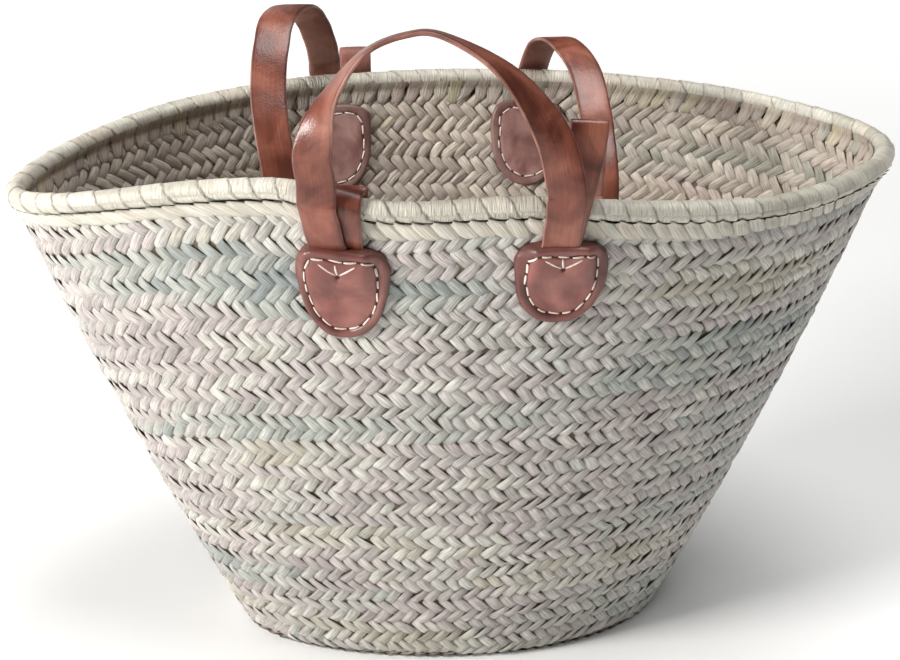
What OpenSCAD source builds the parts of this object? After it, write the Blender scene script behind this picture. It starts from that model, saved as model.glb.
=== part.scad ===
// Woven market basket with two short and two long leather handles.
// A flat oval strip-woven body opens to a pointed, rope-edged mouth.
// Frame: X along the mouth, -Y is the front wall, +Z up, origin at the middle of the underside.

/* [Mouth and base] */
// Half length of the mouth along the rim's middle line
rim_half_length = 280; // [240:5:320]
// Half depth of the mouth along the rim's middle line
rim_half_depth = 146; // [120:2:160]
// Half length of the oval base
base_half_length = 150; // [130:5:180]
// Half depth of the oval base
base_half_depth = 75; // [65:5:95]
// Height of the rim's middle line above the ground, halfway along
rim_height = 348; // [320:2:360]

/* [Sagging of the soft body] */
// How far the end walls bow outwards halfway up
end_bow = 5; // [0:1:10]
// How far the long walls bow outwards halfway up
side_bow = 3; // [0:1:8]
// How pointed the mouth's two tips are, 0 being an ellipse
tip_point = 0.2; // [0:0.05:0.5]
// How far the mouth's tips droop below its middle
tip_drop = 18; // [0:1:30]
// How much higher the right tip sits than the left one, halved
tip_tilt = 8; // [0:1:12]
// Sideways lean of the front wall's bulge at the rim
front_skew = 13; // [0:1:15]
// Rise of the front rim left of the left handle
front_lift = 13; // [0:1:15]
// Rise of the front rim between the handles
front_crown = 6; // [0:1:8]
// Fall of the front rim right of the right handle
front_sag = 4; // [0:1:6]

/* [Weave] */
// Thickness of the plaited strip
strip_thick = 5; // [4:0.5:6]
// Number of full turns that the sewn strip makes up the wall
turns = 5; // [4:1:6]

/* [Rim] */
// Radius of the rope core
core_radius = 4.2; // [3.6:0.1:4.4]
// Outer radius of the leaf wrapping
wrap_radius = 6.3; // [6:0.1:6.8]
// Height of the laced band under the rope
lacing_height = 10; // [7:0.5:12]

/* [Leather] */
// Width of every strap
strap_width = 22; // [20:1:24]
// Thickness of every strap
strap_thick = 3; // [2.5:0.1:3.2]
// Width of a patch
patch_width = 55; // [52:1:60]
// Height of a patch
patch_height = 61; // [56:1:64]
// Thickness of an inner patch
inner_patch_thick = 2.8; // [2:0.1:3]
// Thickness of the waxed thread
thread_diameter = 1.2; // [0.8:0.1:1.6]
// Number of running stitches round a patch
stitch_count = 16; // [12:1:20]

/* [Hidden] */
HANDLES = ["front_short", "front_long", "back_short", "back_long"];
PLACES = ["front_left", "front_right", "back_left", "back_right"];
COURSES = [for (k = [1 : turns + 1]) str("course_", k)];

clearance = 0.3;                       // air between pieces that lie against each other
floor_z = strip_thick + 1.5;           // height at which the wall starts
tip_round = 0.4;                       // rounds off the pointed tips
base_skew = 3;                         // the front bulge's lean at the base
skew_gain = 2.6;                       // makes the skew term peak at 1
lift_x = [-125, 15, 170];              // where the front rim rises, crowns and sags
lift_reach = [[95, 38], [55, 55], [55, 55]]; // how far each of those runs to its left and right
wall_top = 1 - (wrap_radius + clearance) / (rim_height - floor_z);
segments = 96;                         // steps round the whole mouth

// --- The middle of the wall. u is the angle round it, t goes from 0 at the base to 1 at the rim.
function mix(a, b, t) = a + (b - a) * t;
function unit(v) = v / norm(v);
function half_length(t) = mix(base_half_length, rim_half_length, t) + 4 * end_bow * t * (1 - t);
function half_depth(t) = mix(base_half_depth, rim_half_depth, t) + 4 * side_bow * t * (1 - t);
function pointed(s, t) = pow((s * s + tip_round * tip_round) / (1 + tip_round * tip_round),
    tip_point * pow(max(t, 0), 1.5) / 2);
function bump(x, k) = exp(-pow((x - lift_x[k]) / lift_reach[k][x < lift_x[k] ? 0 : 1], 2));
function lift(x, t) = pow(max(t, 0), 3)
    * (front_lift * bump(x, 0) + front_crown * bump(x, 1) - front_sag * bump(x, 2));
function mid_x(u, t) = half_length(t) * cos(u);
function mid_y(u, t) = half_depth(t) * sin(u) * pointed(sin(u), t)
    - (sin(u) < 0 ? mix(base_skew, front_skew, t) * skew_gain * cos(u) * pow(sin(u), 2) : 0);
function mid_z(u, t) = mix(floor_z, rim_height, t) - tip_drop * t * pow(abs(cos(u)), 3)
    + tip_tilt * t * pow(cos(u), 3) + (sin(u) < 0 ? lift(mid_x(u, t), t) : 0);
function mid(u, t) = [mid_x(u, t), mid_y(u, t), mid_z(u, t)];
function outward(u, t) = unit(cross(mid(u + 0.5, t) - mid(u - 0.5, t),
    mid(u, t + 0.01) - mid(u, t - 0.01)));
function off_wall(u, t, gap) = mid(u, t) + outward(u, t) * gap;
// The angle round the body at a given x, on the front (side -1) or the back (side 1)
function angle_at(x, side, t) = side < 0 ? 360 - acos(x / half_length(t)) : acos(x / half_length(t));
function wall_point(x, side, t, gap) = off_wall(angle_at(x, side, t), t, gap);

// --- A solid swept through rings of points, all with the same number of corners
module swept(rings, closed = false) {
    n = len(rings);
    m = len(rings[0]);
    skin = [for (i = [0 : (closed ? n - 1 : n - 2)], k = [0 : m - 1])
        let (j = (i + 1) % n, l = (k + 1) % m, a = i * m + k, b = j * m + k, c = j * m + l, d = i * m + l)
        each [[a, d, c], [a, c, b]]];
    ends = closed ? [] : [[for (k = [m - 1 : -1 : 0]) k], [for (k = [0 : m - 1]) (n - 1) * m + k]];
    polyhedron([for (ring = rings) each ring], concat(skin, ends), convexity = 10);
}

// --- The woven body
module base() {
    edge = strip_thick / 2;
    color("#c9bfa9")
        linear_extrude(strip_thick)
            polygon([for (i = [0 : segments - 1]) let (u = 360 * i / segments)
                [(base_half_length + edge) * cos(u), mid_y(u, 0) + edge * sin(u)]]);
}

function clip(t) = min(max(t, 0), wall_top);
module course(k) {
    rise = wall_top / turns;
    seam = 0.15 / rim_height;          // half the gap between two turns
    tail = 8;                          // degrees left off where the strip tapers to nothing
    from = k == 1 ? tail : 0.05;
    to = k == turns + 1 ? 360 - tail : 359.95;
    half = strip_thick / 2;
    color("#d2c8b0")
        swept([for (i = [0 : segments]) let (u = mix(from, to, i / segments),
            low = clip((k - 2 + u / 360) * rise) + seam, high = clip((k - 1 + u / 360) * rise) - seam)
            [off_wall(u, low, half), off_wall(u, high, half),
             off_wall(u, high, -half), off_wall(u, low, -half)]]);
}

// --- The rim: a rope core, its leaf wrapping, and the laced band below
function rim_ring(u, outline) = let (o = outward(u, 1), side = unit([o.x, o.y, 0]))
    [for (p = outline) mid(u, 1) + [0, 0, p[0]] - side * p[1]];
function arc(r, from, to, steps) = [for (i = [0 : steps]) let (a = mix(from, to, i / steps))
    [r * cos(a), r * sin(a)]];

module rim_core() {
    color("#b3a27c")
        swept([for (i = [0 : segments - 1])
            rim_ring(360 * i / segments, [for (k = [0 : 11]) core_radius * [cos(30 * k), sin(30 * k)]])],
            closed = true);
}

module rim_wrap() {
    lip = 150;                         // the wrapping stops this far round, where the wall meets the rope
    color("#d6d0b4")
        swept([for (i = [0 : segments - 1]) rim_ring(360 * i / segments,
            concat(arc(wrap_radius, -lip, lip, 9), arc(core_radius + clearance, lip, -lip, 9)))],
            closed = true);
}

module rim_lacing() {
    inside = strip_thick / 2 + clearance;
    outside = inside + 1.5;
    low = wall_top - lacing_height / (rim_height - floor_z);
    color("#cfc7ac")
        swept([for (i = [0 : segments - 1]) let (u = 360 * i / segments)
            [off_wall(u, low, outside), off_wall(u, wall_top, outside),
             off_wall(u, wall_top, inside), off_wall(u, low, inside)]], closed = true);
}

// --- Patches. Middle of each one as x, side of the body and height t up the wall
patch_x = [-86, 35, -72, 69];
patch_side = [-1, -1, 1, 1];
patch_t = [0.847, 0.872, 0.866, 0.866];
patch_size = [1.02, 0.9, 1.03, 1.03];  // handmade patches differ in height
pocket_from = [-19, -17, -20, -26];    // room for the strap ends, as x from the patch's middle
pocket_to = [17, 21, 25, 17];
layer = strap_thick + 2 * clearance;
outer_start = strip_thick / 2 + clearance;
inner_start = strip_thick / 2 + 1.3;   // the flat inner patch touches the curved wall only in the middle
patch_skin = 2.2;                      // leather over the strap ends
pocket_low = 5;                        // the strap ends stop this far above the patch's middle
pocket_deep = outer_start + 2 * layer + 1.5;
face_top = pocket_deep + patch_skin;
face_bottom = outer_start + 3.2;
face_tilt = atan((face_top - face_bottom) / patch_height);
face_middle = (face_top + face_bottom) / 2;

function power(v, p) = sign(v) * pow(abs(v), p);
// A shield: square-shouldered at the top, narrowing to a round bottom
function patch_outline(i, scale = 1) = [for (a = [0 : 9 : 351])
    let (y = power(sin(a), sin(a) > 0 ? 0.55 : 0.95), x = power(cos(a), sin(a) > 0 ? 0.6 : 0.9))
    scale * [x * (0.94 + 0.08 * y) * patch_width / 2, y * patch_size[i] * patch_height / 2]];

module on_wall(i) {
    u = angle_at(patch_x[i], patch_side[i], patch_t[i]);
    n = outward(u, patch_t[i]);
    up = unit([0, 0, 1] - n * n.z);
    right = cross(up, n);
    p = mid(u, patch_t[i]);
    multmatrix([[right.x, up.x, n.x, p.x], [right.y, up.y, n.y, p.y], [right.z, up.z, n.z, p.z]])
        children();
}

module outer_patch(i) {
    big = 200;
    left = patch_side[i] < 0 ? pocket_from[i] : -pocket_to[i];
    color("#a5664f")
        on_wall(i)
            difference() {
                translate([0, 0, outer_start])
                    linear_extrude(2 * face_top)
                        polygon(patch_outline(i));
                translate([0, 0, face_middle])
                    rotate([face_tilt, 0, 0])
                        translate([-big / 2, -big / 2, 0])
                            cube(big);
                translate([left, pocket_low, 0])
                    cube([pocket_to[i] - pocket_from[i], big, pocket_deep]);
            }
}

module inner_patch(i) {
    color("#a06a5c")
        on_wall(i)
            translate([0, 0, -inner_start - inner_patch_thick])
                linear_extrude(inner_patch_thick)
                    polygon(patch_outline(i));
}

// One stitch lying between two points of the patch's plane
module stitch(a, b) {
    run = b - a;
    translate([a.x, a.y, 0])
        rotate([0, 90, atan2(run.y, run.x)])
            cylinder(h = norm(run), d = thread_diameter, $fn = 16);
}

module stitch_ring(i) {
    line = patch_outline(i, 0.78);
    count = len(line);
    for (k = [0 : stitch_count - 1]) {
        j = round(k * count / stitch_count);
        stitch(line[j % count], mix(line[(j + 1) % count], line[(j + 2) % count], 0.5));
    }
}

module thread(i) {
    rest = thread_diameter / 2 + 0.05;
    color("#ece6da")
        on_wall(i) {
            translate([0, 0, face_middle])
                rotate([face_tilt, 0, 0])
                    translate([0, 0, rest])
                        stitch_ring(i);
            translate([0, 0, -inner_start - inner_patch_thick - rest])
                stitch_ring(i);
        }
}

// --- Straps. A route is a list of [point, width direction]
function spline(a, b, c, d, f) = 0.5 * (2 * b + (c - a) * f + (2 * a - 5 * b + 4 * c - d) * f * f
    + (3 * b - a - 3 * c + d) * f * f * f);
function along_route(route, s, k) = let (n = len(route) - 1, i = min(floor(s), n - 1), f = s - i,
    before = i == 0 ? 2 * route[0][k] - route[1][k] : route[i - 1][k],
    after = i == n - 1 ? 2 * route[n][k] - route[n - 1][k] : route[i + 2][k])
    spline(before, route[i][k], route[i + 1][k], after, f);
function strap_ring(route, s) = let (last = len(route) - 1, p = along_route(route, s, 0),
    ahead = along_route(route, min(s + 0.02, last), 0), behind = along_route(route, max(s - 0.02, 0), 0),
    along = unit(ahead - behind), hint = along_route(route, s, 1),
    across = unit(hint - along * (hint * along)),
    width = across * strap_width / 2, grain = cross(across, along) * strap_thick / 2)
    [p - grain - width, p - grain + width, p + grain + width, p + grain - width];
module strap(route, per_step = 5) {
    color("#9a5337")
        swept([for (i = [0 : (len(route) - 1) * per_step]) strap_ring(route, i / per_step)]);
}

// The fixed ends. Heights t up the wall, and the strap's distance off the wall's middle at each
run_t = [0.906, 0.93, 0.953, 0.975, 1];
inner_run = [outer_start + strap_thick / 2, outer_start + strap_thick / 2,
    outer_start + 1.9 + strap_thick / 2, wrap_radius + 0.4, wrap_radius + 2];
// x of each strap under its patch and at the rim, in pairs left and right
end_x = [[[-92, -98], [32, 33]], [[-85, -86], [33, 36]], [[-68, -53], [62, 50]], [[-79, -76], [73, 74]]];
hinge_shift = [[0, 0], [0, 11], [0, 0], [0, 0]]; // from there to the hinge's x
end_side = [-1, -1, 1, 1];
end_layer = [1, 0, 1, 0];
bend = 5;                              // clear length on each side of a hinge
hinge_gap = [wrap_radius + 2 + layer + 1, -wrap_radius - 4.7, wrap_radius + 2 + layer + 1, wrap_radius + 2.5];
hinge_rise = [[10, 12], [-1, -2], [15, 15], [13, 13]];

function hinge(h, e) = wall_point(end_x[h][e][1] + hinge_shift[h][e], end_side[h], 1, hinge_gap[h])
    + [0, 0, hinge_rise[h][e]];
function chord(h) = unit(hinge(h, 1) - hinge(h, 0));
function below(p) = p - [0, 0, bend];
function above(p) = p + [0, 0, bend];
// Along the wall at a height t, towards +X
function wall_way(x, side, t) = let (u = angle_at(x, side, t)) unit(mid(u - side, t) - mid(u + side, t));
function end_point(h, e, k) = let (x = mix(end_x[h][e][0], end_x[h][e][1], k / (len(run_t) - 1)))
    [wall_point(x, end_side[h], run_t[k], inner_run[k] + end_layer[h] * layer),
     wall_way(x, end_side[h], run_t[k])];

rope_over = wrap_radius + 2.7;           // strap's middle over the rope
// A point beside the rope: along the wall, inwards and up from the rope's middle
function at_rope(h, e, q) = let (x = end_x[h][e][1], way = wall_way(x, end_side[h], 1), n = unit([way.y, -way.x, 0]))
    wall_point(x, end_side[h], 1, 0) + way * q.x + end_side[h] * n * q.y + [0, 0, q.z];
riser = [[3, -7.4, 13], [7.5, -4.4, 34], [9.5, -1.9, 46], [9.8, 0.1, 49.4], [10, 2.1, 46], [10.5, 6.6, 30],
    [11, 10, 12]];
function over_end(h, e) = let (way = wall_way(end_x[h][e][1], end_side[h], 1), p = hinge(h, e))
    h != 1 ? [[below(p), chord(h)]]
    : e == 0 ? concat([for (a = [130, 90, 50])
        [at_rope(h, e, [0, rope_over * cos(a), rope_over * sin(a)]), way]], [[above(p), chord(h)]])
    : concat([for (q = riser) [at_rope(h, e, q), way]], [[above(p), chord(h)]]);
module fixed_end(h, e) {
    strap(concat([for (k = [0 : len(run_t) - 1]) end_point(h, e, k)], over_end(h, e)), per_step = 3);
}

// The loops, drawn from the left hinge to the right one
X = [1, 0, 0];
Y = [0, 1, 0];
function between(h, f) = mix(hinge(h, 0), hinge(h, 1), f);
module about_hinge(h, angle) {
    translate(hinge(h, 0))
        rotate(a = angle, v = hinge(h, 1) - hinge(h, 0))
            translate(-hinge(h, 0))
                children();
}

// Upright arch as [share of the way from the left hinge to the right one, height, lean]
front_arch = [[-0.015, 24, 0], [0.03, 52, 1], [0.14, 78, 4], [0.31, 90, 7], [0.46, 86, 7],
    [0.74, 63, 4], [0.93, 34, 1]];
front_arch_turn = [12, 35, 65, 90, 102, 135, 168];
module front_short_loop() {
    strap(concat([[above(hinge(0, 0)), chord(0)]],
        [for (k = [0 : 6]) let (q = front_arch[k], a = front_arch_turn[k])
            [between(0, q[0]) + [0, q[2], q[1]], [cos(a), -sin(a), 0]]],
        [[above(hinge(0, 1)), -chord(0)]]));
}

// Hangs inside the front wall
hang = [[0.02, 45, 12.5], [0.07, 92, 29], [0.15, 128, 40], [0.32, 157, 46], [0.5, 165, 47],
    [0.68, 157, 46], [0.85, 128, 40], [0.93, 92, 29], [0.98, 45, 12.5]];
hang_turn = [4, 40, 75, 88, 90, 92, 105, 140, 176];
module front_long_loop() {
    strap(concat([[below(hinge(1, 0)), chord(1)]],
        [for (k = [0 : 8]) let (q = hang[k], a = hang_turn[k])
            [between(1, q[0]) + [0, q[2], -q[1]], [cos(a), sin(a), 0]]],
        [[below(hinge(1, 1)), -chord(1)]]));
}

// Drawn upright, then laid over outwards
back_arch = [[0.0, 40, 0], [0.06, 75, 0], [0.2, 105, 0], [0.5, 120, 0], [0.8, 105, 0], [0.94, 75, 0],
    [1.0, 40, 0]];
back_arch_turn = [15, 45, 75, 90, 105, 135, 165];
module back_short_loop() {
    about_hinge(2, -140)
        strap(concat([[above(hinge(2, 0)), -X]],
            [for (k = [0 : 6]) let (q = back_arch[k], a = back_arch_turn[k])
                [between(2, q[0]) + [0, q[2], q[1]], [-cos(a), -sin(a), 0]]],
            [[above(hinge(2, 1)), X]]));
}

// Arches forward over the mouth, then hangs down inside the basket in a U
over_arch = [
    [[-3, -26, 18], 0], [[-12, -60, 46], 0], [[-23, -90, 62], 0], [[-36, -120, 62], 0], [[-42, -142, 48], 0],
    [[-45, -158, 27], 0], [[-44, -173, 6], 0], [[-40, -183, -22], 5], [[-38, -184, -60], 30],
    [[-34, -175, -105], 60], [[-18, -165, -152], 82], [[30, -160, -171], 90], [[66, -159, -174], 90],
    [[104, -160, -171], 90], [[149, -165, -146], 98], [[163, -174, -104], 120], [[164, -180, -66], 150],
    [[165, -172, -36], 175], [[166, -152, -14], 180], [[168.5, -126, 0], 180], [[166.5, -98, 20], 180],
    [[158, -66, 30], 180], [[154, -28, 20], 180]];
module back_long_loop() {
    strap(concat([[hinge(3, 0) + bend * unit(over_arch[0][0]), -X]],
        [for (q = over_arch) [hinge(3, 0) + q[0], [-cos(q[1]), sin(q[1]), 0]]],
        [[hinge(3, 1) + bend * unit([0, -28, 20]), X]]), per_step = 4);
}

base();
course(1);  // course_1
course(2);  // course_2
course(3);  // course_3
course(4);  // course_4
course(5);  // course_5
course(6);  // course_6
rim_core();
rim_wrap();
rim_lacing();
outer_patch(0);  // outer_patch_front_left
outer_patch(1);  // outer_patch_front_right
outer_patch(2);  // outer_patch_back_left
outer_patch(3);  // outer_patch_back_right
inner_patch(0);  // inner_patch_front_left
inner_patch(1);  // inner_patch_front_right
inner_patch(2);  // inner_patch_back_left
inner_patch(3);  // inner_patch_back_right
thread(0);  // thread_front_left
thread(1);  // thread_front_right
thread(2);  // thread_back_left
thread(3);  // thread_back_right
fixed_end(0, 0);  // front_short_end_left
fixed_end(0, 1);  // front_short_end_right
fixed_end(1, 0);  // front_long_end_left
fixed_end(1, 1);  // front_long_end_right
fixed_end(2, 0);  // back_short_end_left
fixed_end(2, 1);  // back_short_end_right
fixed_end(3, 0);  // back_long_end_left
fixed_end(3, 1);  // back_long_end_right
front_short_loop();
front_long_loop();
back_short_loop();
back_long_loop();
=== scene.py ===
import math

import bpy
import numpy as np
from mathutils import Matrix, Vector


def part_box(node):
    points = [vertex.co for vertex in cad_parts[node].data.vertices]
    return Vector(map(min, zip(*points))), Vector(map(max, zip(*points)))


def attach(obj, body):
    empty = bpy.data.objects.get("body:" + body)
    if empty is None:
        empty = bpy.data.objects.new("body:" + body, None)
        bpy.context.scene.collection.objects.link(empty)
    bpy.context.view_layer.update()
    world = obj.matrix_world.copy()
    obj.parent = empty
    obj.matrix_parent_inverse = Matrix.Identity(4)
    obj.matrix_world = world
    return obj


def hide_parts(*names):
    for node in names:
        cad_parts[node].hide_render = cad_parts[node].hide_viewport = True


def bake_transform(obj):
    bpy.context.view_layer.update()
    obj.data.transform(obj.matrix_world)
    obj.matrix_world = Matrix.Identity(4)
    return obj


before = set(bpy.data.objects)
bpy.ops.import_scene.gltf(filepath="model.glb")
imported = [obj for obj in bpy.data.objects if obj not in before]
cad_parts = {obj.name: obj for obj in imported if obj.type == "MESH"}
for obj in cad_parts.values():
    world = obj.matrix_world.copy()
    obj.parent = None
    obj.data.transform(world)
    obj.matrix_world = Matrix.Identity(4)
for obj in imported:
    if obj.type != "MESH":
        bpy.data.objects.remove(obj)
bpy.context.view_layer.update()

MM = 0.001
Z = np.array([0.0, 0.0, 1.0])


# ---- small tools
def linear(r, g, b):
    """An sRGB colour, 0 to 255, as linear values with alpha."""
    def one(c):
        c /= 255
        return c / 12.92 if c <= 0.04045 else ((c + 0.055) / 1.055) ** 2.4
    return (one(r), one(g), one(b), 1.0)


def smooth(x, low, high):
    """0 below low, 1 above high, and an S curve in between."""
    t = np.clip((np.asarray(x, float) - low) / (high - low), 0, 1)
    return t * t * (3 - 2 * t)


def unit(v):
    return v / np.maximum(np.linalg.norm(v, axis=-1, keepdims=True), 1e-12)


def walked(points):
    """The way walked along a line of points, from 0 at the first."""
    return np.concatenate([[0], np.cumsum(np.linalg.norm(np.diff(points, axis=0), axis=1))])


def make_mesh(name, points, quads, materials, face_material=None, uv=None, tint=None, flat=False):
    """A mesh from points in millimetres. uv and tint are given per point."""
    points = np.asarray(points, float).reshape(-1, 3) * MM
    quads = np.asarray(quads, np.int32).reshape(-1, 4)
    mesh = bpy.data.meshes.new(name)
    mesh.vertices.add(len(points))
    mesh.vertices.foreach_set("co", points.astype(np.float32).ravel())
    mesh.loops.add(quads.size)
    mesh.loops.foreach_set("vertex_index", quads.ravel())
    mesh.polygons.add(len(quads))
    mesh.polygons.foreach_set("loop_start", np.arange(0, quads.size, 4, dtype=np.int32))
    if face_material is not None:
        mesh.polygons.foreach_set("material_index", np.asarray(face_material, np.int32))
    mesh.polygons.foreach_set("use_smooth", np.full(len(quads), not flat))
    mesh.update(calc_edges=True)
    if uv is not None:
        layer = mesh.uv_layers.new(name="UVMap")
        corners = np.asarray(uv, np.float32).reshape(-1, 2)[quads.ravel()]
        layer.data.foreach_set("uv", corners.ravel())
    if tint is not None:
        layer = mesh.attributes.new("Tint", "FLOAT_COLOR", "POINT")
        layer.data.foreach_set("color", np.asarray(tint, np.float32).ravel())
    mesh.validate()
    for material in materials:
        mesh.materials.append(material)
    piece = bpy.data.objects.new(name, mesh)
    bpy.context.scene.collection.objects.link(piece)
    return piece


def grid_quads(rows, cols, wrap_rows=False, wrap_cols=False):
    """Quads of a rows by cols grid of points, numbered row by row."""
    r = np.arange(rows if wrap_rows else rows - 1)[:, None]
    c = np.arange(cols if wrap_cols else cols - 1)[None, :]
    r2, c2 = (r + 1) % rows, (c + 1) % cols
    quads = np.stack([r * cols + c, r * cols + c2, r2 * cols + c2, r2 * cols + c], -1)
    return quads.reshape(-1, 4)


def many_grids(rows, cols, flip, wrap_cols=False):
    """Quads of separate grids, one after another. flip says which have their faces turned over."""
    quads = grid_quads(rows, cols, wrap_cols=wrap_cols) + (np.arange(len(flip)) * rows * cols)[:, None, None]
    return np.where(flip[:, None, None], quads[..., ::-1], quads).reshape(-1, 4)


def finish_piece(piece, nodes=(), body="basket"):
    if nodes:
        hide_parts(*nodes)
    if body:
        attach(piece, body)


# ---- the basket's form
rim_low, rim_high = (np.array(v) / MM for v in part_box("rim_wrap"))
base_low, base_high = (np.array(v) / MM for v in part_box("base"))
ROPE_R = 6.3  # the wound rope's radius
WALL_HALF = 2.5  # half the wall's thickness
FLOOR_Z = 6.5  # the wall's middle surface starts here, over the base
RIM_Z = 348.0  # and ends here, in the rope's middle, before LIFTS and the tips' drop
RIM_A = (rim_high[0] - rim_low[0]) / 2 - ROPE_R
RIM_B = rim_high[1] - ROPE_R
BASE_A = (base_high[0] - base_low[0]) / 2 - WALL_HALF
BASE_B = base_high[1] - WALL_HALF
END_BOW, SIDE_BOW = 5.0, 3.0  # how far the wall bulges at half its height
TIP_POINT, TIP_ROUND = 0.2, 0.4  # how pointed the mouth's two tips are
TIP_DROP, TIP_TILT = 18.0, 8.0  # both tips hang, the right one less
BASE_SKEW, RIM_SKEW, SKEW_GAIN = 3.0, 13.0, 2.6  # the front wall swings out on the right, in on the left
# waves of the front rim: height, middle, and reach to the left and to the right
LIFTS = ((13.0, -125.0, 95.0, 38.0), (6.0, 15.0, 55.0, 55.0), (-4.0, 170.0, 55.0, 55.0))
WALL_H = RIM_Z - FLOOR_Z
WALL_TOP = 1 - (ROPE_R + 0.3) / WALL_H  # the plait ends just under the rope
TURNS = 5  # of the strip's rising spiral
RISE = WALL_TOP / TURNS


def wall(u, t):
    """Points of the wall's middle surface. u is in degrees, t goes from 0 at the base to 1 at the rim."""
    u, t = np.broadcast_arrays(np.radians(np.asarray(u, float)), np.asarray(t, float))
    c, s = np.cos(u), np.sin(u)
    t1 = np.maximum(t, 0)
    bow = 4 * t1 * (1 - t1)
    x = (BASE_A + (RIM_A - BASE_A) * t + END_BOW * bow) * c
    pointed = ((s * s + TIP_ROUND ** 2) / (1 + TIP_ROUND ** 2)) ** (TIP_POINT * t1 ** 1.5 / 2)
    y = (BASE_B + (RIM_B - BASE_B) * t + SIDE_BOW * bow) * s * pointed
    front = s < 0
    y = y - np.where(front, (BASE_SKEW + (RIM_SKEW - BASE_SKEW) * t) * SKEW_GAIN * c * s * s, 0)
    z = FLOOR_Z + WALL_H * t - TIP_DROP * t * np.abs(c) ** 3 + TIP_TILT * t * c ** 3
    for height, middle, left, right in LIFTS:
        reach = np.where(x < middle, left, right)
        z = z + np.where(front, height * t1 ** 3 * np.exp(-((x - middle) / reach) ** 2), 0)
    return np.stack([x, y, z], -1)


def outward(u, t):
    """The wall's way outwards."""
    return unit(np.cross(wall(u + 0.5, t) - wall(u - 0.5, t), wall(u, t + 0.01) - wall(u, t - 0.01)))


def off_wall(u, t, gap):
    """Points gap millimetres outside the wall's middle surface."""
    return wall(u, t) + outward(u, t) * np.asarray(gap, float)[..., None]


def angle_at(x, side, t):
    """The angle at which the wall, at height t, has that x on its front (side -1) or back (side 1)."""
    a = BASE_A + (RIM_A - BASE_A) * t + END_BOW * 4 * t * (1 - t)
    u = np.degrees(np.arccos(np.clip(x / a, -1, 1)))
    return 360 - u if side < 0 else u


def soft_noise(x, y, seed, octaves=3):
    """Smooth pseudo-random values from about -1 to 1, from sums of waves."""
    r = np.random.default_rng(seed)
    total, weight = 0, 0
    for k in range(octaves):
        for _ in range(3):
            a, f, p = r.uniform(0, math.tau), 2.0 ** k * r.uniform(0.7, 1.3), r.uniform(0, math.tau)
            total = total + np.sin((x * math.cos(a) + y * math.sin(a)) * f * math.tau + p) / (k + 1)
            weight += 0.8 / (k + 1)
    return np.clip(total / weight, -1, 1)


def own_random(number):
    """A fixed value from 0 to 1 for each number."""
    value = np.sin(number) * 43758.5453
    return value - np.floor(value)


# ---- materials
class Paint:
    """A new material, with short ways to add the nodes used here. Most return the new node's output."""
    def __init__(self, name):
        self.material = bpy.data.materials.new(name)
        self.material.use_nodes = True
        self.nodes, self.links = self.material.node_tree.nodes, self.material.node_tree.links
        self.shader = self.nodes["Principled BSDF"]

    def feed(self, node, **values):
        """Gives a node's inputs values or other nodes' outputs. In their names _ stands for a space."""
        for name, value in values.items():
            socket = node.inputs[name.replace("_", " ")]
            if isinstance(value, bpy.types.NodeSocket):
                self.links.new(value, socket)
            else:
                socket.default_value = value
        return node

    def add(self, kind, **values):
        return self.feed(self.nodes.new("ShaderNode" + kind), **values)

    def place(self):
        return self.add("TexCoord").outputs["Object"]

    def uv(self, *scale):
        """The UV map, which is in millimetres, scaled."""
        uv = self.add("UVMap")
        uv.uv_map = "UVMap"
        return self.add("Mapping", Vector=uv.outputs["UV"], Scale=(*scale, 1)).outputs["Vector"]

    def tint(self):
        """The red, green and blue of the points' Tint."""
        tint = self.add("Attribute")
        tint.attribute_name = "Tint"
        split = self.add("SeparateColor", Color=tint.outputs["Color"])
        return (split.outputs[name] for name in ("Red", "Green", "Blue"))

    def noise(self, vector, scale, detail=2.0, distortion=0.0):
        node = self.add("TexNoise", Vector=vector, Scale=scale, Detail=detail, Distortion=distortion)
        return node.outputs["Fac"]

    def ramp(self, value, stops):
        """Colours picked by a value. stops are pairs of a value and an sRGB colour."""
        node = self.add("ValToRGB", Fac=value)
        elements = node.color_ramp.elements
        while len(elements) < len(stops):
            elements.new(0.5)
        for k, (position, colour) in enumerate(stops):
            elements[k].position = position
            elements[k].color = linear(*colour)
        return node.outputs["Color"]

    def remap(self, value, low, high, to_low, to_high, interpolation="LINEAR"):
        node = self.add("MapRange", Value=value, From_Min=low, From_Max=high, To_Min=to_low, To_Max=to_high)
        node.interpolation_type = interpolation
        return node.outputs["Result"]

    def times(self, a, b):
        node = self.add("Math")
        node.operation = "MULTIPLY"
        self.links.new(a, node.inputs[0])
        self.links.new(b, node.inputs[1])
        return node.outputs["Value"]

    def shaded(self, colour, value):
        node = self.add("VectorMath")
        node.operation = "SCALE"
        self.links.new(colour, node.inputs[0])
        return self.feed(node, Scale=value).outputs["Vector"]

    def mix(self, factor, a, b):
        node = self.add("Mix")
        node.data_type = "RGBA"
        return self.feed(node, Factor=factor, A=a, B=b).outputs["Result"]

    def bump(self, height, strength, depth):
        node = self.add("Bump", Height=height, Strength=strength, Distance=depth)
        self.feed(self.shader, Normal=node.outputs["Normal"])


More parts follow.
